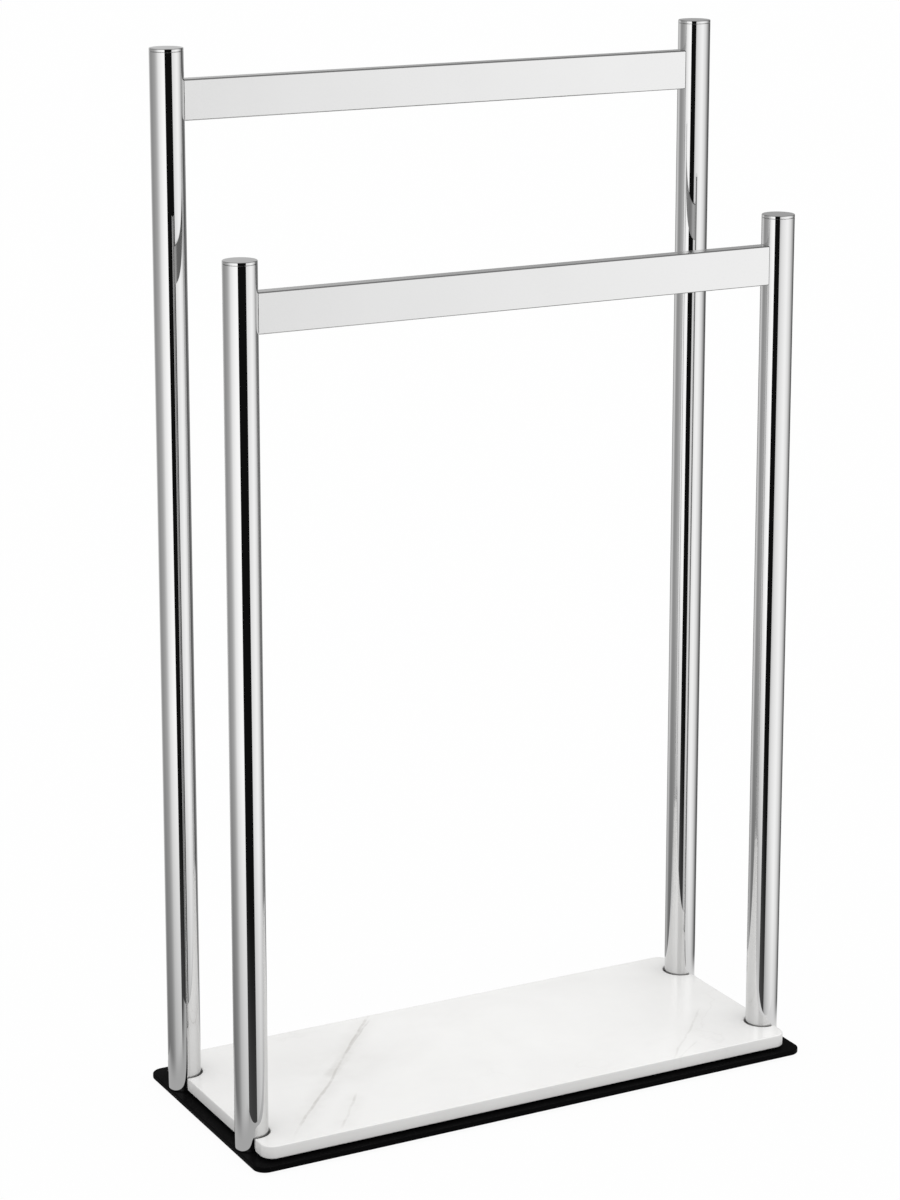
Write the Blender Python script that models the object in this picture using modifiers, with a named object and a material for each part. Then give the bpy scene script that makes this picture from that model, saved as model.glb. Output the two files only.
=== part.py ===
# Free-standing towel stand.
# Two tall posts at the back and two shorter ones at the front rise from a black steel plate.
# A flat rail joins each pair of posts, and a marble slab lies on the plate between the posts.
# Origin: middle of the base, on the floor. X runs along the rails, Y to the back, Z up.

import math

import bmesh
import bpy

# Driving dimensions, in metres
plateLength = 0.472         # the plate is the longest and deepest piece
plateDepth = 0.203
plateThickness = 0.004
plateCornerRadius = 0.010
plateEdgeBevel = 0.0006

rearHeight = 0.803          # top of the rear caps above the floor
frontHeight = 0.667         # top of the front caps above the floor

postDiameter = 0.025
postWall = 0.0015
postEndMargin = 0.0005      # plate showing beyond the posts at its ends
postInset = 0.040           # from the plate's long edges to the axes of the posts

slabThickness = 0.010
slabOverhang = 0.0035       # slab end beyond the axes of the posts
slabFrontMargin = 0.0075    # plate showing in front of and behind the slab
slabCornerRadius = 0.010
slabEdgeRadius = 0.0012
slabNotchClearance = 0.0013

barHeight = 0.030
barThickness = 0.012
barWall = 0.0015
barEdgeRadius = 0.0012
barDrop = 0.023             # top of a rail below the top of its caps

capThickness = 0.002
capEdgeBevel = 0.0004
capSpigotLength = 0.012

insertLength = 0.020
plugLength = 0.022
screwDiameter = 0.006
screwHeadDiameter = 0.0112
screwGrip = 0.012           # length of a base screw above the plate
barScrewDiameter = 0.005
barScrewHeadDiameter = 0.009
barScrewHeadHeight = 0.0025
barScrewGrip = 0.014        # length of a bar screw inside its plug

footDiameter = 0.018
footHeight = 0.002
footInsetX = 0.060          # from the plate's short edges to the middle of an end foot
footInsetY = 0.030          # from the plate's long edges to the middle of a foot
padDiameter = 0.030
padThickness = 0.0012
padInset = 0.045            # from the slab's edges to a pad's middle

gap = 0.0003                # clearance between pieces that touch
sides = 48                  # facets round a post

# Levels and places that follow from them
postSpacingX = plateLength - postDiameter - 2 * postEndMargin
postSpacingY = plateDepth - 2 * postInset
plateBottom = footHeight + gap
plateTop = plateBottom + plateThickness
postBottom = plateTop + gap
slabBottom = plateTop + padThickness + 2 * gap
slabTop = slabBottom + slabThickness
slabLength = postSpacingX + 2 * slabOverhang
slabDepth = plateDepth - 2 * slabFrontMargin
postRadius = postDiameter / 2
boreRadius = postRadius - postWall
notchRadius = postRadius + slabNotchClearance

rows = {"rear": (postSpacingY / 2, rearHeight), "front": (-postSpacingY / 2, frontHeight)}
ends = {"left": -1, "right": 1}


def clearScene():
    for obj in list(bpy.data.objects):
        bpy.data.objects.remove(obj, do_unlink=True)


def newCollection(name):
    collection = bpy.data.collections.new(name)
    bpy.context.scene.collection.children.link(collection)
    return collection


def newMaterial(name, colour, roughness, metallic=0.0):
    material = bpy.data.materials.new(name)
    material.use_nodes = True
    shader = material.node_tree.nodes["Principled BSDF"]
    shader.inputs["Base Color"].default_value = (*colour, 1.0)
    shader.inputs["Roughness"].default_value = roughness
    shader.inputs["Metallic"].default_value = metallic
    return material


def addPart(name, mesh, material, location=(0, 0, 0), rotation=(0, 0, 0)):
    # One visible piece in the stand's collection, under the stand's empty.
    obj = bpy.data.objects.new(name, mesh)
    obj.location = location
    obj.rotation_euler = rotation
    obj.parent = stand
    obj.data.materials.append(material)
    parts.objects.link(obj)
    return obj


def addCutter(name, mesh, location=(0, 0, 0), rotation=(0, 0, 0)):
    obj = bpy.data.objects.new(name, mesh)
    obj.location = location
    obj.rotation_euler = rotation
    obj.hide_render = True
    obj.display_type = "WIRE"
    cutters.objects.link(obj)
    return obj


def cut(part, cutter):
    boolean = part.modifiers.new("cut_" + cutter.name, "BOOLEAN")
    boolean.operation = "DIFFERENCE"
    boolean.solver = "EXACT"
    boolean.object = cutter


def bevel(part, width, segments=2, angle=35):
    modifier = part.modifiers.new("edges", "BEVEL")
    modifier.width = width
    modifier.segments = segments
    modifier.limit_method = "ANGLE"
    modifier.angle_limit = math.radians(angle)
    modifier.use_clamp_overlap = True
    return modifier


def smooth(mesh, angle=35):
    mesh.shade_smooth()
    mesh.set_sharp_from_angle(angle=math.radians(angle))


def cylinderMesh(name, radius, length, segments=sides, radiusTop=None):
    # A closed cylinder or cone along Z, from z = 0 to z = length.
    mesh = bpy.data.meshes.new(name)
    shape = bmesh.new()
    bmesh.ops.create_cone(
        shape,
        cap_ends=True,
        segments=segments,
        radius1=radius,
        radius2=radius if radiusTop is None else radiusTop,
        depth=length,
    )
    bmesh.ops.translate(shape, verts=shape.verts, vec=(0, 0, length / 2))
    shape.to_mesh(mesh)
    shape.free()
    smooth(mesh)
    return mesh


def turnedMesh(name, profile, segments=sides):
    # A closed profile of (radius, z) points turned about Z; it runs down its outer side.
    mesh = bpy.data.meshes.new(name)
    count = len(profile)
    edges = [(i, (i + 1) % count) for i in range(count)]
    if profile[0][0] == 0 and profile[-1][0] == 0:
        edges.pop()
    mesh.from_pydata([(radius, 0, z) for radius, z in profile], edges, [])
    turned = bpy.data.objects.new(name, mesh)
    bpy.context.scene.collection.objects.link(turned)
    screw = turned.modifiers.new("turn", "SCREW")
    screw.axis = "Z"
    screw.steps = segments
    screw.render_steps = segments
    screw.use_merge_vertices = True
    screw.merge_threshold = 0.00001
    graph = bpy.context.evaluated_depsgraph_get()
    made = bpy.data.meshes.new_from_object(turned.evaluated_get(graph))
    made.name = name
    bpy.data.objects.remove(turned, do_unlink=True)
    smooth(made)
    return made


def arcPoints(centre, radius, start, finish, steps):
    # Points on an arc in the plane, from one angle to the other in degrees, both included.
    points = []
    for i in range(steps + 1):
        angle = math.radians(start + (finish - start) * i / steps)
        points.append((centre[0] + radius * math.cos(angle), centre[1] + radius * math.sin(angle)))
    return points


def outlineMesh(name, outline, thickness):
    # A flat outline made solid, from z = 0 to z = thickness.
    curve = bpy.data.curves.new(name, "CURVE")
    curve.dimensions = "2D"
    curve.fill_mode = "BOTH"
    curve.extrude = thickness / 2
    spline = curve.splines.new("POLY")
    spline.points.add(len(outline) - 1)
    for point, (x, y) in zip(spline.points, outline):
        point.co = (x, y, 0, 1)
    spline.use_cyclic_u = True
    drawn = bpy.data.objects.new(name, curve)
    bpy.context.scene.collection.objects.link(drawn)
    graph = bpy.context.evaluated_depsgraph_get()
    mesh = bpy.data.meshes.new_from_object(drawn.evaluated_get(graph))
    bpy.data.objects.remove(drawn, do_unlink=True)
    shape = bmesh.new()
    shape.from_mesh(mesh)
    bmesh.ops.remove_doubles(shape, verts=shape.verts, dist=0.00001)
    bmesh.ops.dissolve_limit(
        shape, angle_limit=math.radians(0.5), verts=shape.verts, edges=shape.edges
    )
    bmesh.ops.translate(shape, verts=shape.verts, vec=(0, 0, thickness / 2))
    bmesh.ops.recalc_face_normals(shape, faces=shape.faces)
    shape.to_mesh(mesh)
    shape.free()
    mesh.name = name
    return mesh


def roundedRectangle(length, depth, radius, steps=6):
    # Outline of a rectangle with round corners, counter-clockwise.
    x, y = length / 2 - radius, depth / 2 - radius
    points = []
    for centre, start in (((x, y), 0), ((-x, y), 90), ((-x, -y), 180), ((x, -y), 270)):
        points += arcPoints(centre, radius, start, start + 90, steps)
    return points


def slabOutline():
    # Outline of the slab, with a part-round notch for each post in its short ends.
    halfLength, halfDepth = slabLength / 2, slabDepth / 2
    mouth = math.degrees(math.acos(slabOverhang / notchRadius))
    quarter = []
    # Right end, upper half: up past the notch, round the corner
    notchCentre = (postSpacingX / 2, postSpacingY / 2)
    quarter += arcPoints(notchCentre, notchRadius, 360 - mouth, mouth, 22)
    cornerCentre = (halfLength - slabCornerRadius, halfDepth - slabCornerRadius)
    quarter += arcPoints(cornerCentre, slabCornerRadius, 0, 90, 6)
    upper = quarter + [(-x, y) for x, y in reversed(quarter)]
    return upper + [(-x, -y) for x, y in upper]


def makeBasePlate():
    mesh = outlineMesh(
        "base_plate", roundedRectangle(plateLength, plateDepth, plateCornerRadius), plateThickness
    )
    plate = addPart("base_plate", mesh, blackCoat, (0, 0, plateBottom))
    bevel(plate, plateEdgeBevel, segments=1)
    holeRadius = screwDiameter / 2 + gap
    headRadius = screwHeadDiameter / 2 + gap
    sink = headRadius - holeRadius
    reach = 0.001
    # Countersunk hole: a 90 degree cone from the underside, then a straight bore
    profile = [
        (0, plateThickness + reach),
        (holeRadius, plateThickness + reach),
        (holeRadius, sink),
        (headRadius, 0),
        (headRadius, -reach),
        (0, -reach),
    ]
    for rowName, (y, _) in rows.items():
        for endName, side in ends.items():
            hole = addCutter(
                f"screw_hole_{rowName}_{endName}",
                turnedMesh("screw_hole", profile, 24),
                (side * postSpacingX / 2, y, plateBottom),
            )
            cut(plate, hole)
    return plate


def makeSlab():
    slab = addPart(
        "marble_slab", outlineMesh("marble_slab", slabOutline(), slabThickness), marble,
        (0, 0, slabBottom),
    )
    bevel(slab, slabEdgeRadius, segments=2, angle=60)
    return slab


def makePosts():
    screwHole = cylinderMesh("bar_screw_hole", barScrewDiameter / 2 + gap, postDiameter, 16)
    for rowName, (y, top) in rows.items():
        tubeLength = top - capThickness - gap - postBottom
        profile = [
            (boreRadius, tubeLength),
            (postRadius, tubeLength),
            (postRadius, 0),
            (boreRadius, 0),
        ]
        mesh = turnedMesh(rowName + "_post", profile)
        for endName, side in ends.items():
            x = side * postSpacingX / 2
            post = addPart(f"{rowName}_{endName}_post", mesh.copy(), chrome, (x, y, postBottom))
            hole = addCutter(
                f"{rowName}_{endName}_post_hole",
                screwHole,
                (x, y, top - barDrop - barHeight / 2),
                (0, -side * math.pi / 2, 0),
            )
            cut(post, hole)


def makeCaps():
    # Seen from the side: a bevelled disc that covers the wall, with a spigot in the bore
    spigotRadius = boreRadius - gap
    profile = [
        (0, capThickness),
        (postRadius - capEdgeBevel, capThickness),
        (postRadius, capThickness - capEdgeBevel),
        (postRadius, 0),
        (spigotRadius, 0),
        (spigotRadius, -capSpigotLength),
        (0, -capSpigotLength),
    ]
    mesh = turnedMesh("cap", profile)
    for rowName, (y, top) in rows.items():
        for endName, side in ends.items():
            addPart(
                f"{rowName}_{endName}_cap", mesh.copy(), chrome,
                (side * postSpacingX / 2, y, top - capThickness),
            )


def barOutline(height, thickness, radius):
    return roundedRectangle(thickness, height, radius, 3)


def makeBars():
    # Flat hollow rails whose ends are cut to the round of the posts.
    barLength = postSpacingX
    cope = cylinderMesh("bar_cope", postRadius + gap, barHeight * 2)
    for rowName, (y, top) in rows.items():
        middle = top - barDrop - barHeight / 2
        outer = outlineMesh(
            rowName + "_towel_bar", barOutline(barHeight, barThickness, barEdgeRadius), barLength
        )
        bar = addPart(
            rowName + "_towel_bar", outer, chrome, (-barLength / 2, y, middle),
            (math.pi / 2, 0, math.pi / 2),
        )
        innerRadius = 0.0005
        inner = outlineMesh(
            rowName + "_bar_hollow",
            barOutline(barHeight - 2 * barWall, barThickness - 2 * barWall, innerRadius),
            barLength * 1.1,
        )
        hollow = addCutter(
            rowName + "_bar_hollow", inner, (-barLength * 0.55, y, middle),
            (math.pi / 2, 0, math.pi / 2),
        )
        cut(bar, hollow)
        for endName, side in ends.items():
            end = addCutter(
                f"{rowName}_{endName}_bar_cope", cope,
                (side * postSpacingX / 2, y, middle - barHeight),
            )
            cut(bar, end)


def makeBarPlugs():
    # Blocks inside the rail's ends that take the screws from inside the posts.
    plugHeight = barHeight - 2 * barWall - 2 * gap
    plugThickness = barThickness - 2 * barWall - 2 * gap
    cope = cylinderMesh("plug_cope", postRadius + 2 * gap, barHeight * 2)
    boreMesh = cylinderMesh("plug_bore", barScrewDiameter / 2 + gap, plugLength + postDiameter, 16)
    for rowName, (y, top) in rows.items():
        middle = top - barDrop - barHeight / 2
        for endName, side in ends.items():
            mesh = outlineMesh(
                "plug", barOutline(plugHeight, plugThickness, 0.0005), plugLength + postRadius / 2
            )
            start = side * (postSpacingX / 2 - postRadius / 2)
            plug = addPart(
                f"{rowName}_{endName}_bar_plug", mesh, steel, (start, y, middle),
                (math.pi / 2, 0, -side * math.pi / 2),
            )
            cut(plug, addCutter(
                f"{rowName}_{endName}_plug_cope", cope,
                (side * postSpacingX / 2, y, middle - barHeight),
            ))
            cut(plug, addCutter(
                f"{rowName}_{endName}_plug_bore", boreMesh,
                (side * postSpacingX / 2, y, middle), (0, -side * math.pi / 2, 0),
            ))


def makeBarScrews():
    # Button-head screws: the head sits inside the post, the shank in the rail's plug.
    headRadius = barScrewHeadDiameter / 2
    shankRadius = barScrewDiameter / 2
    # The flat of the head stops where its rim would meet the round wall of the bore
    seat = math.sqrt(boreRadius ** 2 - headRadius ** 2) - gap
    shank = postRadius - seat + barScrewGrip
    profile = [
        (0, barScrewHeadHeight),
        (headRadius * 0.6, barScrewHeadHeight),
        (headRadius, barScrewHeadHeight * 0.4),
        (headRadius, 0),
        (shankRadius, 0),
        (shankRadius, -shank),
        (0, -shank),
    ]
    mesh = turnedMesh("bar_screw", profile, 24)
    for rowName, (y, top) in rows.items():
        for endName, side in ends.items():
            addPart(
                f"{rowName}_{endName}_bar_screw", mesh.copy(), steel,
                (side * (postSpacingX / 2 - seat), y, top - barDrop - barHeight / 2),
                (0, side * math.pi / 2, 0),
            )


def makeInserts():
    # Threaded plugs in the lower ends of the posts.
    bore = screwDiameter / 2 + gap
    outer = boreRadius - gap
    profile = [
        (bore, insertLength),
        (outer, insertLength),
        (outer, 0),
        (bore, 0),
    ]
    mesh = turnedMesh("foot_insert", profile, 32)
    for rowName, (y, _) in rows.items():
        for endName, side in ends.items():
            addPart(
                f"{rowName}_{endName}_foot_insert", mesh.copy(), steel,
                (side * postSpacingX / 2, y, postBottom),
            )


def makeBaseScrews():
    # Countersunk screws, their heads a clearance above the underside of the plate.
    shankRadius = screwDiameter / 2
    headRadius = screwHeadDiameter / 2
    sink = headRadius - shankRadius
    length = plateThickness + screwGrip
    profile = [
        (0, length),
        (shankRadius, length),
        (shankRadius, sink),
        (headRadius, 0),
        (0, 0),
    ]
    mesh = turnedMesh("base_screw", profile, 24)
    for rowName, (y, _) in rows.items():
        for endName, side in ends.items():
            addPart(
                f"{rowName}_{endName}_base_screw", mesh.copy(), steel,
                (side * postSpacingX / 2, y, plateBottom + gap / 2),
            )


def makeFeet():
    mesh = cylinderMesh("foot", footDiameter / 2, footHeight, 24)
    y = plateDepth / 2 - footInsetY
    for rowName, sideY in (("rear", 1), ("front", -1)):
        for endName, sideX in (("left", -1), ("middle", 0), ("right", 1)):
            x = sideX * (plateLength / 2 - footInsetX)
            addPart(f"{rowName}_{endName}_foot", mesh.copy(), rubber, (x, sideY * y, 0))


def makeSlabPads():
    mesh = cylinderMesh("slab_pad", padDiameter / 2, padThickness, 24)
    for rowName, sideY in (("rear", 1), ("front", -1)):
        for endName, sideX in ends.items():
            x = sideX * (slabLength / 2 - padInset)
            y = sideY * (slabDepth / 2 - padInset)
            addPart(f"{rowName}_{endName}_slab_pad", mesh.copy(), rubber, (x, y, plateTop + gap))


clearScene()
parts = newCollection("towel_stand")
cutters = newCollection("towel_stand_cutters")
cutters.hide_render = True
stand = bpy.data.objects.new("towel_stand_origin", None)
parts.objects.link(stand)

chrome = newMaterial("polished_chrome", (0.82, 0.83, 0.84), 0.06, 1.0)
blackCoat = newMaterial("black_powder_coat", (0.012, 0.012, 0.013), 0.38)
marble = newMaterial("white_marble", (0.86, 0.86, 0.85), 0.22)
rubber = newMaterial("black_rubber", (0.02, 0.02, 0.02), 0.8)
steel = newMaterial("zinc_plated_steel", (0.55, 0.56, 0.57), 0.35, 1.0)

makeBasePlate()
makeSlab()
makePosts()
makeCaps()
makeBars()
makeBarPlugs()
makeBarScrews()
makeInserts()
makeBaseScrews()
makeFeet()
makeSlabPads()
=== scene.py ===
import math

import bmesh
import bpy
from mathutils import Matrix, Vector


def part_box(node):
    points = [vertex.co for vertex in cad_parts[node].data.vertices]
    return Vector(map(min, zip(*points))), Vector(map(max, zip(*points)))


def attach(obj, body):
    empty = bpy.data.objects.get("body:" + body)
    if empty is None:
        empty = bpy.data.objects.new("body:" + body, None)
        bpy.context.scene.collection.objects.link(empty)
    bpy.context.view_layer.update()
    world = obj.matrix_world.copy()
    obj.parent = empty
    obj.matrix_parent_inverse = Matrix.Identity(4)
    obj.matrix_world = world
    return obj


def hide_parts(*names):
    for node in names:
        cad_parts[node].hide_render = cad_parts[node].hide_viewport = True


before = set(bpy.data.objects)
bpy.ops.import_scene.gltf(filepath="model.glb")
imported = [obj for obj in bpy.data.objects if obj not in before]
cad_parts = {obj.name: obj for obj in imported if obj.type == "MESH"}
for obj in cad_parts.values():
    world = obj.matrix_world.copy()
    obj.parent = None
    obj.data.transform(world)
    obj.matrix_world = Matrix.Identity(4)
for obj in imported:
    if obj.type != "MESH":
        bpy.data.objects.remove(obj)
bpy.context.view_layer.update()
print("frame loaded:", len(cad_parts), "nodes")

rowNames = ("rear", "front")
endNames = ("left", "right")
modelScene = bpy.context.scene


def nodeBox(name):
    low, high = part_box(name)
    return low, high, (low + high) / 2


def addPiece(name, mesh, location, material):
    piece = bpy.data.objects.new(name, mesh)
    piece.location = location
    piece.data.materials.append(material)
    modelScene.collection.objects.link(piece)
    return piece


def carry(piece, slotName, *nodes):
    # the piece rides on the stand and stands for these nodes
    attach(piece, "root")
    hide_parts(*nodes)


def smoothShade(mesh, degrees=40):
    mesh.shade_smooth()
    mesh.set_sharp_from_angle(angle=math.radians(degrees))


def meshFromBmesh(name, shape, degrees=40):
    mesh = bpy.data.meshes.new(name)
    bmesh.ops.recalc_face_normals(shape, faces=shape.faces)
    shape.to_mesh(mesh)
    shape.free()
    smoothShade(mesh, degrees)
    return mesh


def weightNormals(piece):
    # large faces keep their own normals, so flat and long faces reflect cleanly
    modifier = piece.modifiers.new("normals", "WEIGHTED_NORMAL")
    modifier.mode = "FACE_AREA"
    modifier.weight = 100
    modifier.keep_sharp = True


def arc(centre, radius, start, finish, steps):
    points = []
    for i in range(steps + 1):
        angle = math.radians(start + (finish - start) * i / steps)
        x = centre[0] + radius * math.cos(angle)
        y = centre[1] + radius * math.sin(angle)
        points.append((x, y))
    return points


def turnProfile(name, profile, steps, degrees=40):
    # profile: (radius, height) points, turned about Z
    shape = bmesh.new()
    verts = [shape.verts.new((radius, 0, height)) for radius, height in profile]
    pairs = list(zip(verts, verts[1:]))
    if profile[0][0] > 0:
        pairs.append((verts[-1], verts[0]))
    edges = [shape.edges.new(pair) for pair in pairs]
    bmesh.ops.spin(
        shape, geom=verts + edges, cent=(0, 0, 0), axis=(0, 0, 1),
        angle=2 * math.pi, steps=steps, use_merge=True,
    )
    bmesh.ops.remove_doubles(shape, verts=shape.verts, dist=1e-6)
    return meshFromBmesh(name, shape, degrees)


def extrudeOutline(name, outline, thickness):
    # outline: (x, y) points, counter-clockwise, raised along Z from 0
    shape = bmesh.new()
    face = shape.faces.new([shape.verts.new((x, y, 0)) for x, y in outline])
    raised = bmesh.ops.extrude_face_region(shape, geom=[face])
    top = [item for item in raised["geom"] if isinstance(item, bmesh.types.BMVert)]
    bmesh.ops.translate(shape, verts=top, vec=(0, 0, thickness))
    return meshFromBmesh(name, shape)


def roundedRectangle(length, depth, radius, steps):
    x, y = length / 2 - radius, depth / 2 - radius
    points = []
    for centre, start in (((x, y), 0), ((-x, y), 90), ((-x, -y), 180), ((x, -y), 270)):
        points += arc(centre, radius, start, start + 90, steps)
    return points


def cutPiece(piece, cutterMesh, location):
    # a Boolean that is applied at once, so no cutter stays in the scene
    cutter = bpy.data.objects.new("cutter", cutterMesh)
    cutter.location = location
    modelScene.collection.objects.link(cutter)
    modifier = piece.modifiers.new("cut", "BOOLEAN")
    modifier.operation = "DIFFERENCE"
    modifier.solver = "EXACT"
    modifier.object = cutter
    bpy.context.view_layer.update()
    graph = bpy.context.evaluated_depsgraph_get()
    cutMesh = bpy.data.meshes.new_from_object(piece.evaluated_get(graph))
    piece.modifiers.clear()
    piece.data = cutMesh
    bpy.data.objects.remove(cutter, do_unlink=True)


def bevelEdges(piece, width, segments, degrees=60):
    modifier = piece.modifiers.new("eased edges", "BEVEL")
    modifier.width = width
    modifier.segments = segments
    modifier.limit_method = "ANGLE"
    modifier.angle_limit = math.radians(degrees)


def newMaterial(name):
    material = bpy.data.materials.new(name)
    material.use_nodes = True
    tree = material.node_tree
    shader = tree.nodes["Principled BSDF"]
    return material, tree, shader


def addNode(tree, kind, inputs=None, **settings):
    node = tree.nodes.new(kind)
    for key, value in settings.items():
        setattr(node, key, value)
    for key, value in (inputs or {}).items():
        if isinstance(value, bpy.types.NodeSocket):
            tree.links.new(value, node.inputs[key])
        else:
            node.inputs[key].default_value = value
    return node


def objectCoordinates(tree):
    return addNode(tree, "ShaderNodeTexCoord").outputs["Object"]


def noise(tree, vector, scale, detail=3.0, roughness=0.5, distortion=0.0):
    node = addNode(
        tree, "ShaderNodeTexNoise",
        {"Vector": vector, "Scale": scale, "Detail": detail, "Roughness": roughness,
         "Distortion": distortion},
    )
    return node.outputs["Fac"]


def mapRange(tree, value, fromLow, fromHigh, toLow, toHigh, smooth=True):
    node = addNode(
        tree, "ShaderNodeMapRange",
        {"Value": value, "From Min": fromLow, "From Max": fromHigh, "To Min": toLow,
         "To Max": toHigh},
        interpolation_type="SMOOTHSTEP" if smooth else "LINEAR",
    )
    return node.outputs["Result"]


def calculate(tree, operation, first, second=None, clamp=False):
    node = addNode(tree, "ShaderNodeMath", {0: first}, operation=operation, use_clamp=clamp)
    if second is not None:
        if isinstance(second, bpy.types.NodeSocket):
            tree.links.new(second, node.inputs[1])
        else:
            node.inputs[1].default_value = second
    return node.outputs[0]


def mixColours(tree, factor, first, second):
    node = addNode(tree, "ShaderNodeMix", data_type="RGBA")
    for index, value in ((0, factor), (6, first), (7, second)):
        if isinstance(value, bpy.types.NodeSocket):
            tree.links.new(value, node.inputs[index])
        elif index == 0:
            node.inputs[index].default_value = value
        else:
            node.inputs[index].default_value = (*value, 1)
    return node.outputs[2]


def bump(tree, shader, height, strength, distance):
    node = addNode(
        tree, "ShaderNodeBump", {"Height": height, "Strength": strength, "Distance": distance}
    )
    tree.links.new(node.outputs["Normal"], shader.inputs["Normal"])


chromeFinish = {
    "colour": (0.66, 0.66, 0.66),
    "hazeColour": (0.64, 0.639, 0.637),
    "roughness": (0.008, 0.022),
    "hazeScale": 14,
    "rippleScale": 26,
    "rippleDepth": 0.000012,
}


def makeChrome(name, look):
    # nickel-chrome plate: almost a mirror, with slight haze and the faint ripple of polishing
    material, tree, shader = newMaterial(name)
    place = objectCoordinates(tree)
    haze = noise(tree, place, look["hazeScale"], 4)
    tree.links.new(mixColours(tree, haze, look["colour"], look["hazeColour"]),
                   shader.inputs["Base Color"])
    tree.links.new(mapRange(tree, haze, 0.35, 0.75, *look["roughness"]), shader.inputs["Roughness"])
    shader.inputs["Metallic"].default_value = 1.0
    bump(tree, shader, noise(tree, place, look["rippleScale"], 1), 1.0, look["rippleDepth"])
    return material


railFinish = {**chromeFinish, "roughness": (0.15, 0.19)}  # flat rails, polished a little softer

coatFinish = {
    "colour": (0.0022, 0.0022, 0.0024),
    "worn": (0.0042, 0.0041, 0.0043),
    "roughness": (0.38, 0.5),
    "specular": 0.012,  # low, so that the plate stays black in bright light
    "cloudScale": 22,
    "pebbleScale": 1500,
    "pebbleStrength": 0.35,
    "pebbleDepth": 0.00006,
}


def makePowderCoat(look):
    # satin powder coat: a fine orange-peel surface, slightly uneven in sheen
    material, tree, shader = newMaterial("black powder coat")
    place = objectCoordinates(tree)
    cloud = noise(tree, place, look["cloudScale"], 4)
    tree.links.new(mixColours(tree, cloud, look["colour"], look["worn"]),
                   shader.inputs["Base Color"])
    tree.links.new(mapRange(tree, cloud, 0.3, 0.7, *look["roughness"]), shader.inputs["Roughness"])
    shader.inputs["Specular IOR Level"].default_value = look["specular"]
    pebble = noise(tree, place, look["pebbleScale"], 2)
    bump(tree, shader, pebble, look["pebbleStrength"], look["pebbleDepth"])
    return material


rubberFinish = {
    "colour": (0.018, 0.018, 0.018),
    "dusty": (0.032, 0.031, 0.03),
    "dustScale": 260,
    "roughness": (0.7, 0.9),
    "specular": 0.35,
    "grainScale": 1800,
    "grainStrength": 0.4,
    "grainDepth": 0.00005,
}


def makeRubber(look):
    material, tree, shader = newMaterial("black rubber")
    place = objectCoordinates(tree)
    dust = noise(tree, place, look["dustScale"], 5, 0.6)
    tree.links.new(mixColours(tree, dust, look["colour"], look["dusty"]),
                   shader.inputs["Base Color"])
    tree.links.new(mapRange(tree, dust, 0.3, 0.7, *look["roughness"]), shader.inputs["Roughness"])
    shader.inputs["Specular IOR Level"].default_value = look["specular"]
    grain = noise(tree, place, look["grainScale"], 2)
    bump(tree, shader, grain, look["grainStrength"], look["grainDepth"])
    return material


zincFinish = {
    "colour": (0.56, 0.57, 0.59),
    "dull": (0.44, 0.44, 0.43),
    "mottleScale": 180,
    "roughness": (0.25, 0.42),
    "grainScale": 2400,
    "grainStrength": 0.2,
    "grainDepth": 0.00002,
}


def makeZinc(look):
    # zinc-plated steel of the fasteners
    material, tree, shader = newMaterial("zinc plated steel")
    place = objectCoordinates(tree)
    mottle = noise(tree, place, look["mottleScale"], 5, 0.6)
    tree.links.new(mixColours(tree, mottle, look["colour"], look["dull"]),
                   shader.inputs["Base Color"])
    tree.links.new(mapRange(tree, mottle, 0.3, 0.7, *look["roughness"]), shader.inputs["Roughness"])
    shader.inputs["Metallic"].default_value = 1.0
    grain = noise(tree, place, look["grainScale"], 2)
    bump(tree, shader, grain, look["grainStrength"], look["grainDepth"])
    return material


marbleFinish = {
    "ground": (0.885, 0.882, 0.872),
    "cloud": (0.815, 0.81, 0.80),
    "cloudScale": 9,
    "cloudSpread": 0.5,
    # the stone is cloudier towards its left end
    "cloudLean": ((0.05, -0.20), 0.5),
    "veinColour": (0.42, 0.40, 0.375),
    "faintColour": (0.70, 0.69, 0.675),
    "roughness": (0.16, 0.27),
    "specular": 0.45,
    # each vein: its middle (x, y), its heading in degrees, half width, half length, strength
    "veins": (
        ((-0.120, 0.008), 49.5, 0.0022, 0.135, 0.52),
        ((-0.080, 0.053), 47.0, 0.0017, 0.050, 0.42),
        ((-0.112, 0.018), 44.0, 0.0085, 0.036, 0.30),
        ((-0.145, -0.064), 57.0, 0.0017, 0.036, 0.42),
        ((0.158, -0.056), 47.0, 0.0017, 0.058, 0.27),
        ((0.142, -0.084), 34.0, 0.0014, 0.020, 0.20),
    ),
    # how far and how often the veins wander, and how finely they break up
    "warp": 0.0075,
    "warpScale": 11,
    "frayScale": 62,
    # faint haze beside each vein: times its width, and share of its strength
    "haloWidth": 7,
    "haloStrength": 0.28,
    # the hair-fine web, and the patches that it shows in
    "hairScale": 13,
    "hairWidth": 0.012,
    "hairStrength": 0.22,
    "patchScale": 7,
    "grainScale": 700,
    "grainStrength": 0.12,
    "grainDepth": 0.00003,
}


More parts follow.
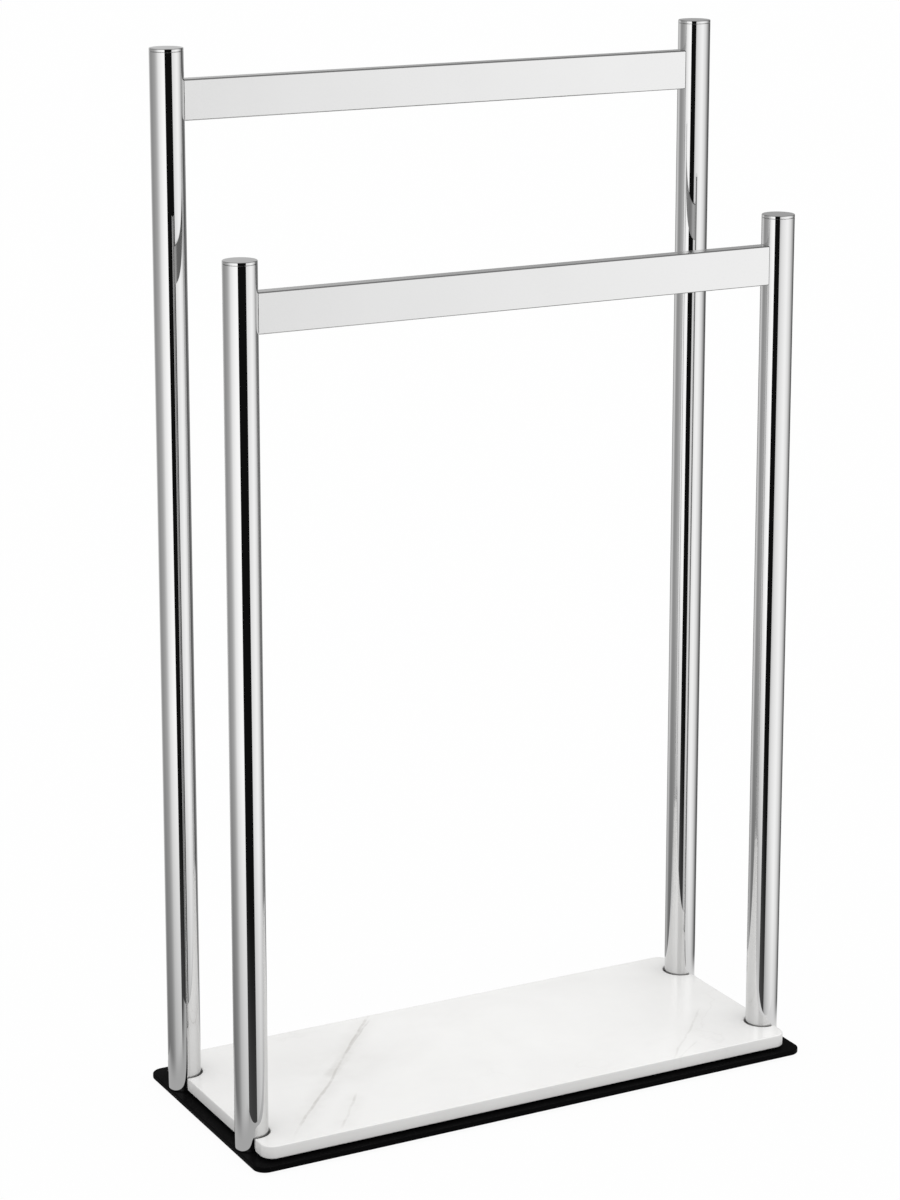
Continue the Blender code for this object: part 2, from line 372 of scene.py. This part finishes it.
def makeMarble(look):
    # white marble: soft clouds, a few drawn veins that wander, and a web of hair-fine ones
    material, tree, shader = newMaterial("white marble")
    place = objectCoordinates(tree)
    clouds = noise(tree, place, look["cloudScale"], 6, 0.55, 0.6)
    cloudy = mapRange(tree, clouds, 0.35, 0.7, 0, look["cloudSpread"])
    (clearX, cloudyX), lean = look["cloudLean"]
    alongSlab = addNode(tree, "ShaderNodeSeparateXYZ", {0: place}).outputs["X"]
    leaning = mapRange(tree, alongSlab, clearX, cloudyX, 0, lean)
    cloudy = calculate(tree, "ADD", cloudy, leaning, True)
    ground = mixColours(tree, cloudy, look["ground"], look["cloud"])

    # coordinates that wander, shared by all veins
    warpNoise = addNode(
        tree, "ShaderNodeTexNoise", {"Vector": place, "Scale": look["warpScale"], "Detail": 4}
    )
    centred = addNode(
        tree, "ShaderNodeVectorMath", {0: warpNoise.outputs["Color"], 1: (0.5, 0.5, 0.5)},
        operation="SUBTRACT",
    )
    scaled = addNode(
        tree, "ShaderNodeVectorMath", {0: centred.outputs[0], "Scale": look["warp"] * 2},
        operation="SCALE",
    )
    wander = addNode(
        tree, "ShaderNodeVectorMath", {0: place, 1: scaled.outputs[0]}, operation="ADD"
    ).outputs[0]
    fray = noise(tree, place, look["frayScale"], 5, 0.6)

    total = None
    for (x, y), heading, halfWidth, halfLength, strength in look["veins"]:
        local = addNode(
            tree, "ShaderNodeMapping",
            {"Vector": wander, "Location": (x, y, 0), "Rotation": (0, 0, math.radians(heading))},
            vector_type="TEXTURE",
        ).outputs[0]
        axes = addNode(tree, "ShaderNodeSeparateXYZ", {0: local}).outputs
        across = calculate(tree, "ABSOLUTE", axes["Y"])
        line = mapRange(tree, across, halfWidth * 0.2, halfWidth, strength, 0)
        halo = mapRange(
            tree, across, 0, halfWidth * look["haloWidth"], strength * look["haloStrength"], 0
        )
        along = calculate(tree, "ABSOLUTE", axes["X"])
        fade = mapRange(tree, along, halfLength * 0.55, halfLength, 1, 0)
        vein = calculate(tree, "MULTIPLY", calculate(tree, "MAXIMUM", line, halo), fade)
        total = vein if total is None else calculate(tree, "MAXIMUM", total, vein)
    broken = calculate(tree, "MULTIPLY", total, mapRange(tree, fray, 0.35, 0.6, 0.35, 1))
    veined = mixColours(tree, broken, ground, look["veinColour"])

    # hair-fine web: the ridges of a distorted noise, in patches
    folds = calculate(tree, "SUBTRACT", noise(tree, wander, look["hairScale"], 5, 0.5), 0.5)
    ridge = calculate(tree, "ABSOLUTE", folds)
    hair = mapRange(tree, ridge, 0, look["hairWidth"], 1, 0)
    patch = noise(tree, place, look["patchScale"], 2)
    patches = mapRange(tree, patch, 0.5, 0.75, 0, look["hairStrength"])
    web = calculate(tree, "MULTIPLY", hair, patches)
    colour = mixColours(tree, web, veined, look["faintColour"])
    tree.links.new(colour, shader.inputs["Base Color"])

    tree.links.new(mapRange(tree, fray, 0.3, 0.7, *look["roughness"]), shader.inputs["Roughness"])
    shader.inputs["Specular IOR Level"].default_value = look["specular"]
    grain = noise(tree, place, look["grainScale"], 3)
    bump(tree, shader, grain, look["grainStrength"], look["grainDepth"])
    return material


chrome = makeChrome("polished chrome", chromeFinish)
railChrome = makeChrome("soft polished chrome", railFinish)
powderCoat = makePowderCoat(coatFinish)
rubber = makeRubber(rubberFinish)
zinc = makeZinc(zincFinish)
marble = makeMarble(marbleFinish)
print("finishes made")


# sizes are in metres; steps are the facets of a round or of an eased edge
postShape = {"wall": 0.0015, "lip": 0.0003, "lipSteps": 4, "steps": 128}


def makePost(nodeName, look):
    low, high, centre = nodeBox(nodeName)
    radius = (high.x - low.x) / 2
    length = high.z - low.z
    bore, lip = radius - look["wall"], look["lip"]
    profile = [(bore, 0), (radius - lip, 0)]
    profile += arc((radius - lip, lip), lip, -90, 0, look["lipSteps"])[1:]
    profile += arc((radius - lip, length - lip), lip, 0, 90, look["lipSteps"])
    profile += [(bore, length)]
    mesh = turnProfile(nodeName + "_tube", profile, look["steps"])
    post = addPiece(nodeName + "_tube", mesh, (centre.x, centre.y, low.z), chrome)
    weightNormals(post)
    carry(post, "polished_chrome", nodeName)


capShape = {"thickness": 0.002, "bevel": 0.0005, "bevelSteps": 5, "spigotGap": 0.0018, "steps": 128}


def makeCap(nodeName, look):
    low, high, centre = nodeBox(nodeName)
    radius = (high.x - low.x) / 2
    top = high.z - low.z
    underside = top - look["thickness"]
    bevel = look["bevel"]
    spigot = radius - look["spigotGap"]
    profile = [(0, top), (radius - bevel, top)]
    profile += arc((radius - bevel, top - bevel), bevel, 90, 0, look["bevelSteps"])[1:]
    profile += [(radius, underside), (spigot, underside), (spigot, 0), (0, 0)]
    mesh = turnProfile(nodeName + "_disc", profile, look["steps"])
    cap = addPiece(nodeName + "_disc", mesh, (centre.x, centre.y, low.z), chrome)
    weightNormals(cap)
    carry(cap, "polished_chrome", nodeName)


for rowName in rowNames:
    for endName in endNames:
        makePost(f"{rowName}_{endName}_post", postShape)
        makeCap(f"{rowName}_{endName}_cap", capShape)
print("posts and caps made")


railShape = {"edge": 0.0012, "edgeSteps": 6, "postGap": 0.0003, "copeSteps": 128}


def makeRail(nodeName, postName, look):
    low, high, centre = nodeBox(nodeName)
    postLow, postHigh, postCentre = nodeBox(postName)
    height = high.z - low.z
    reach = abs(postCentre.x)
    outline = roundedRectangle(high.y - low.y, height, look["edge"], look["edgeSteps"])
    mesh = extrudeOutline(nodeName + "_rail", outline, 2 * reach)
    rail = addPiece(nodeName + "_rail", mesh, (-reach, centre.y, centre.z), railChrome)
    rail.rotation_euler = (math.pi / 2, 0, math.pi / 2)
    # the ends are hollowed to fit round the posts
    cutRadius = (postHigh.x - postLow.x) / 2 + look["postGap"]
    profile = [(0, -height), (cutRadius, -height), (cutRadius, height), (0, height)]
    cope = turnProfile("cope", profile, look["copeSteps"])
    for side in (-1, 1):
        cutPiece(rail, cope, (side * reach, centre.y, centre.z))
    smoothShade(rail.data)
    weightNormals(rail)
    carry(rail, "polished_chrome", nodeName)


makeRail("rear_towel_bar", "rear_left_post", railShape)
makeRail("front_towel_bar", "front_left_post", railShape)
print("rails made")


slabShape = {
    "cornerRadius": 0.010,
    "cornerSteps": 14,
    "notchClearance": 0.0013,
    "notchSteps": 48,
    "edge": 0.0013,
    "edgeSteps": 5,
}


def makeSlab(look):
    low, high, _ = nodeBox("marble_slab")
    postLow, postHigh, postCentre = nodeBox("rear_right_post")
    halfLength, halfDepth = (high.x - low.x) / 2, (high.y - low.y) / 2
    notch = (postHigh.x - postLow.x) / 2 + look["notchClearance"]
    # a quarter of the outline: the notch round a post, then the rounded corner
    mouth = math.degrees(math.acos((halfLength - postCentre.x) / notch))
    corner = look["cornerRadius"]
    quarter = arc((postCentre.x, postCentre.y), notch, 360 - mouth, mouth, look["notchSteps"])
    cornerCentre = (halfLength - corner, halfDepth - corner)
    quarter += arc(cornerCentre, corner, 0, 90, look["cornerSteps"])
    upper = quarter + [(-x, y) for x, y in reversed(quarter)]
    outline = upper + [(-x, -y) for x, y in upper]
    mesh = extrudeOutline("marble_slab_stone", outline, high.z - low.z)
    slab = addPiece("marble_slab_stone", mesh, (0, 0, low.z), marble)
    bevelEdges(slab, look["edge"], look["edgeSteps"])
    weightNormals(slab)
    carry(slab, "white_marble", "marble_slab")


makeSlab(slabShape)
print("slab made")


plateShape = {
    "cornerRadius": 0.010,
    "cornerSteps": 14,
    "edge": 0.0008,
    "edgeSteps": 4,
    "holeRadius": 0.0033,
    "headRadius": 0.0059,
    "holeSteps": 48,
}


def makePlate(look):
    low, high, _ = nodeBox("base_plate")
    thickness = high.z - low.z
    length, depth = high.x - low.x, high.y - low.y
    outline = roundedRectangle(length, depth, look["cornerRadius"], look["cornerSteps"])
    mesh = extrudeOutline("base_plate_steel", outline, thickness)
    plate = addPiece("base_plate_steel", mesh, (0, 0, low.z), powderCoat)
    bevelEdges(plate, look["edge"], look["edgeSteps"])
    # a countersunk hole for each base screw, cut a little past both faces
    narrow, wide, reach = look["holeRadius"], look["headRadius"], 0.001
    hole = turnProfile("hole", [
        (0, thickness + reach), (narrow, thickness + reach), (narrow, wide - narrow),
        (wide, 0), (wide, -reach), (0, -reach),
    ], look["holeSteps"])
    for rowName in rowNames:
        for endName in endNames:
            postCentre = nodeBox(f"{rowName}_{endName}_post")[2]
            cutPiece(plate, hole, (postCentre.x, postCentre.y, low.z))
    smoothShade(plate.data)
    weightNormals(plate)
    carry(plate, "black_powder_coat", "base_plate")


footShape = {"edge": 0.0006, "edgeSteps": 4, "dish": 0.0005, "rim": 0.0022, "steps": 64}


def makeFoot(nodeName, look):
    # rubber disc, dished underneath so that a ring of it grips the floor
    low, high, centre = nodeBox(nodeName)
    radius, height, edge = (high.x - low.x) / 2, high.z - low.z, look["edge"]
    inner = radius - look["rim"]
    profile = [(0, height), (radius - edge / 2, height), (radius, height - edge / 2), (radius, edge)]
    profile += arc((radius - edge, edge), edge, 0, -90, look["edgeSteps"])[1:]
    profile += [(inner, 0), (inner - look["dish"], look["dish"]), (0, look["dish"])]
    mesh = turnProfile(nodeName + "_pad", profile, look["steps"])
    foot = addPiece(nodeName + "_pad", mesh, (centre.x, centre.y, low.z), rubber)
    carry(foot, "black_rubber", nodeName)


screwShape = {
    "diameter": 0.006,
    "edge": 0.0002,
    "pitch": 0.001,
    "threadDepth": 0.0004,
    "socketAcross": 0.0040,
    "socketDepth": 0.0019,
    "steps": 48,
    "sharpDegrees": 30,
}


def makeBaseScrew(nodeName, look):
    # countersunk socket screw, head down, with rings for its thread
    low, high, centre = nodeBox(nodeName)
    length, head, shank = high.z - low.z, (high.x - low.x) / 2, look["diameter"] / 2
    edge, pitch, root = look["edge"], look["pitch"], shank - look["threadDepth"]
    neck = head - shank + edge
    profile = [(0, 0), (head - edge, 0), (head, edge), (shank, neck)]
    height = neck + pitch
    while height + pitch < length - edge:
        profile += [(shank, height), (root, height + pitch / 2)]
        height += pitch
    profile += [(shank, height), (root, length), (0, length)]
    mesh = turnProfile(nodeName + "_bolt", profile, look["steps"], look["sharpDegrees"])
    screw = addPiece(nodeName + "_bolt", mesh, (centre.x, centre.y, low.z), zinc)
    # six steps make the turned cutter a hexagon
    depth, corner = look["socketDepth"], look["socketAcross"] / math.sqrt(3)
    socket = turnProfile("socket", [(0, -depth), (corner, -depth), (corner, depth), (0, depth)], 6)
    cutPiece(screw, socket, (centre.x, centre.y, low.z))
    smoothShade(screw.data, look["sharpDegrees"])
    carry(screw, "zinc_plated_steel", nodeName)


makePlate(plateShape)
for rowName in rowNames:
    for place in ("left", "middle", "right"):
        makeFoot(f"{rowName}_{place}_foot", footShape)
    for endName in endNames:
        makeBaseScrew(f"{rowName}_{endName}_base_screw", screwShape)
print("base made")


# plugs, inserts, pads and bar screws sit out of sight and keep their own shape
keptFinishes = {"bar_plug": zinc, "bar_screw": zinc, "foot_insert": zinc, "slab_pad": rubber}


def finishKeptNodes():
    for nodeName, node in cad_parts.items():
        for ending, material in keptFinishes.items():
            if nodeName.endswith(ending):
                node.data.materials.clear()
                node.data.materials.append(material)
                smoothShade(node.data, 35)


finishKeptNodes()
print("hidden pieces finished")


studio = {
    "floorRadius": 9.0,
    "floorSegments": 96,
    "floorRoughness": 0.9,
    "floorColour": 0.55,
    "floorGlow": 1.016,  # brightness that the camera sees
    "floorShadow": 0.06,  # share of the real light and shadow left in it
    # the sky that the camera sees, the one that lights the stand, and the one it reflects
    "backdrop": 0.995,
    "dome": 0.80,
    "ceiling": 0.26,
    "sunStrength": 1.3,
    "sunAngle": 75,  # degrees across, wide enough to be soft
    "sunTilt": (5, 1),
    "wallRadius": 1.15,
    "wallSegments": 180,
    "wallBottom": -0.8,
    "wallTop": 1.9,
    "wallStrength": 1.19,
    # brightness fades between these heights, and the fade sits lower on the right
    "wallFade": (-0.54, -0.12),
    "wallFaded": 0.50,
    "fadeTilt": 0.12,
    # and again between these, down to a share of it above the softboxes
    "wallCrown": (1.02, 1.35),
    "crownShare": 0.22,
    # the softbox wall: degrees round to the left from straight in front, and its brightness
    "wall": (
        (-180, 0.62), (-166, 0.50), (-152, 0.39), (-127, 0.34), (-118, 0.18), (-111, 0.07),
        (-104, 0.09), (-97, 0.21), (-89, 0.39), (-81, 0.58), (-73, 0.77), (-66, 0.90),
        (-58, 0.98), (-50, 1.08), (-42, 1.12), (-30, 1.06), (-8, 0.92), (5, 0.72), (20, 0.80),
        (45, 1.20), (57, 1.20), (67, 1.14), (76, 1.05), (84, 0.96), (93, 0.70), (99, 0.58),
        (105, 0.48), (112, 0.42), (135, 0.33), (152, 0.36), (168, 0.72), (180, 0.62),
    ),
    # cards: both ends, the height of the top edge, brightness, how far the foot flares out left
    "cards": (
        ((-0.852, -0.815), (-0.027, -0.775), 1.9, 0.007, 0.19),
        ((0.30, 1.08), (0.98, 0.56), 0.66, 0.26, 0.0),
    ),
    "flareHeights": (-0.22, 0.20),  # the foot is at its widest below the first height
    # light spilt on the lower end of the cards
    "cardSpill": 0.085,
    "spillHeights": (-0.42, -0.05),
    # the glowing plinth under the stand, a painted reflection of lit floor: margin past the base
    # plate, drop below it, width of its faded edges, brightness at its left and right (the darker
    # left is painted shade)
    "plinthMargin": (0.085, 0.040),
    "plinthDrop": 0.003,
    "plinthEdge": 0.060,
    "plinthGlow": (0.54, 0.98),
}


def reflectedOnly(obj):
    # seen in glossy surfaces, but not by the camera, and it casts no light or shadow
    obj.visible_camera = False
    obj.visible_diffuse = False
    obj.visible_transmission = False
    obj.visible_volume_scatter = False
    obj.visible_shadow = False


def emissionMaterial(name):
    material = bpy.data.materials.new(name)
    material.use_nodes = True
    tree = material.node_tree
    tree.nodes.clear()
    glow = tree.nodes.new("ShaderNodeEmission")
    output = tree.nodes.new("ShaderNodeOutputMaterial")
    tree.links.new(glow.outputs[0], output.inputs["Surface"])
    material.cycles.emission_sampling = "NONE"
    return material, tree, glow


def polygonPiece(name, corners, material):
    shape = bmesh.new()
    shape.faces.new([shape.verts.new(corner) for corner in corners])
    mesh = bpy.data.meshes.new(name)
    shape.to_mesh(mesh)
    shape.free()
    return addPiece(name, mesh, (0, 0, 0), material)


def makeSoftboxWall(look):
    shape = bmesh.new()
    bmesh.ops.create_cone(
        shape, cap_ends=False, segments=look["wallSegments"], radius1=look["wallRadius"],
        radius2=look["wallRadius"], depth=look["wallTop"] - look["wallBottom"],
    )
    middle = (look["wallTop"] + look["wallBottom"]) / 2
    bmesh.ops.translate(shape, verts=shape.verts, vec=(0, 0, middle))
    mesh = bpy.data.meshes.new("softbox wall")
    shape.to_mesh(mesh)
    shape.free()
    material, tree, glow = emissionMaterial("softbox wall")
    wall = addPiece("softbox_wall", mesh, (0, 0, 0), material)
    axes = addNode(tree, "ShaderNodeSeparateXYZ", {0: objectCoordinates(tree)}).outputs
    turned = calculate(
        tree, "ARCTAN2", calculate(tree, "MULTIPLY", axes["X"], -1),
        calculate(tree, "MULTIPLY", axes["Y"], -1),
    )
    share = mapRange(tree, turned, -math.pi, math.pi, 0, 1, smooth=False)
    ramp = addNode(tree, "ShaderNodeValToRGB", {"Fac": share})
    ramp.color_ramp.interpolation = "LINEAR"
    stops = ramp.color_ramp.elements
    while len(stops) < len(look["wall"]):
        stops.new(0.5)
    for stop, (degrees, level) in zip(stops, look["wall"]):
        stop.position = (degrees + 180) / 360
        stop.color = (level, level, level, 1)
    # dimmer below the stand and above the softboxes
    strength = look["wallStrength"]
    tilted = calculate(
        tree, "ADD", axes["Z"], calculate(tree, "MULTIPLY", axes["X"], look["fadeTilt"])
    )
    faded = look["wallFaded"] * strength
    low = mapRange(tree, tilted, *look["wallFade"], faded, strength, smooth=False)
    high = mapRange(tree, axes["Z"], *look["wallCrown"], 1.0, look["crownShare"])
    tree.links.new(ramp.outputs["Color"], glow.inputs["Color"])
    tree.links.new(calculate(tree, "MULTIPLY", low, high), glow.inputs["Strength"])
    reflectedOnly(wall)


def makeCards(look):
    for number, ((x0, y0), (x1, y1), top, grey, flare) in enumerate(look["cards"]):
        material, tree, glow = emissionMaterial(f"card {number}")
        height = addNode(tree, "ShaderNodeSeparateXYZ", {0: objectCoordinates(tree)}).outputs["Z"]
        spill = mapRange(tree, height, *look["spillHeights"], grey + look["cardSpill"], grey)
        tree.links.new(spill, glow.inputs["Strength"])
        bottom = look["wallBottom"]
        corners = [(x1, y1, bottom), (x1, y1, top), (x0, y0, top)]
        if flare:
            flareLow, flareHigh = look["flareHeights"]
            corners += [(x0, y0, flareHigh), (x0 - flare, y0, flareLow), (x0 - flare, y0, bottom)]
        else:
            corners.append((x0, y0, bottom))
        card = polygonPiece(f"studio_card_{number}", corners, material)
        reflectedOnly(card)


def makePlinth(look):
    # the glowing plinth that the chrome reflects near the base: painted light in place of lit floor
    # there, darker to the left as painted shade; the camera sees only the floor
    low, high, _ = nodeBox("base_plate")
    marginX, marginY = look["plinthMargin"]
    x, y, z = high.x + marginX, high.y + marginY, low.z - look["plinthDrop"]
    material, tree, glow = emissionMaterial("glowing plinth")
    across = addNode(tree, "ShaderNodeSeparateXYZ", {0: objectCoordinates(tree)}).outputs["X"]
    # painted light: the glow rises from left to right, and the dim left end is painted shade
    tree.links.new(mapRange(tree, across, -x, x, *look["plinthGlow"]), glow.inputs["Strength"])
    # its left and right edges fade out
    fade = mapRange(tree, calculate(tree, "ABSOLUTE", across), x - look["plinthEdge"], x, 0, 1)
    clear = tree.nodes.new("ShaderNodeBsdfTransparent")
    soft = addNode(tree, "ShaderNodeMixShader", {0: fade, 1: glow.outputs[0], 2: clear.outputs[0]})
    tree.links.new(soft.outputs[0], tree.nodes["Material Output"].inputs["Surface"])
    plinth = polygonPiece("glowing_plinth", [(-x, -y, z), (x, -y, z), (x, y, z), (-x, y, z)], material)
    reflectedOnly(plinth)


def makeFloor(look):
    shape = bmesh.new()
    bmesh.ops.create_circle(shape, cap_ends=True, segments=look["floorSegments"],
                            radius=look["floorRadius"])
    mesh = bpy.data.meshes.new("floor")
    shape.to_mesh(mesh)
    shape.free()
    material, tree, shader = newMaterial("pale floor")
    grey = look["floorColour"]
    shader.inputs["Base Color"].default_value = (grey, grey, grey, 1)
    shader.inputs["Roughness"].default_value = look["floorRoughness"]
    shader.inputs["Specular IOR Level"].default_value = 0.0
    # to the camera the floor mostly glows, so that the stand's shadow stays faint
    glow = addNode(tree, "ShaderNodeEmission", {"Strength": look["floorGlow"]})
    path = tree.nodes.new("ShaderNodeLightPath")
    share = calculate(tree, "MULTIPLY", path.outputs["Is Camera Ray"], 1 - look["floorShadow"])
    both = addNode(
        tree, "ShaderNodeMixShader", {0: share, 1: shader.outputs[0], 2: glow.outputs[0]}
    )
    tree.links.new(both.outputs[0], tree.nodes["Material Output"].inputs["Surface"])
    floor = addPiece("floor", mesh, (0, 0, 0), material)
    floor.visible_glossy = False


def makeWorld(look):
    # a white backdrop for the camera, an even pale dome for light, a dim ceiling in reflections
    world = bpy.data.worlds.new("studio")
    modelScene.world = world
    world.use_nodes = True
    tree = world.node_tree
    tree.nodes.clear()
    output = tree.nodes.new("ShaderNodeOutputWorld")
    path = tree.nodes.new("ShaderNodeLightPath")
    levels = {}
    for name in ("backdrop", "dome", "ceiling"):
        levels[name] = addNode(
            tree, "ShaderNodeBackground", {"Color": (1, 1, 1, 1), "Strength": look[name]}
        ).outputs[0]
    glossy = addNode(
        tree, "ShaderNodeMixShader",
        {0: path.outputs["Is Glossy Ray"], 1: levels["dome"], 2: levels["ceiling"]},
    ).outputs[0]
    seen = addNode(
        tree, "ShaderNodeMixShader",
        {0: path.outputs["Is Camera Ray"], 1: glossy, 2: levels["backdrop"]},
    ).outputs[0]
    tree.links.new(seen, output.inputs["Surface"])


def makeSun(look):
    light = bpy.data.lights.new("overhead softbox", "SUN")
    light.energy = look["sunStrength"]
    light.angle = math.radians(look["sunAngle"])
    sun = bpy.data.objects.new("overhead_softbox", light)
    tiltX, tiltY = look["sunTilt"]
    sun.rotation_euler = (math.radians(tiltX), math.radians(tiltY), 0)
    sun.visible_glossy = False
    modelScene.collection.objects.link(sun)


makeSoftboxWall(studio)
makeCards(studio)
makePlinth(studio)
makeFloor(studio)
makeWorld(studio)
makeSun(studio)
modelScene.view_settings.view_transform = "Standard"
modelScene.view_settings.look = "None"
print("studio made")


view = {
    "azimuth": -27.98,  # degrees to the right of straight in front
    "elevation": 12.34,
    "distance": 2.478,
    "target": (-0.0251, 0.0, 0.5212),
    "lens": 99.6,
    "sensorWidth": 36,
    "shiftY": -0.15,
    "clip": (0.1, 40),
}


def makeCamera(look):
    data = bpy.data.cameras.new("camera")
    data.lens = look["lens"]
    data.sensor_width = look["sensorWidth"]
    data.shift_y = look["shiftY"]
    data.clip_start, data.clip_end = look["clip"]
    camera = bpy.data.objects.new("camera", data)
    turn, rise = math.radians(look["azimuth"]), math.radians(look["elevation"])
    back = Vector((
        math.sin(turn) * math.cos(rise), -math.cos(turn) * math.cos(rise), math.sin(rise)
    ))
    camera.location = Vector(look["target"]) + back * look["distance"]
    camera.rotation_mode = "QUATERNION"
    camera.rotation_quaternion = (-back).to_track_quat("-Z", "Y")
    modelScene.collection.objects.link(camera)
    modelScene.camera = camera


makeCamera(view)
print("camera placed")
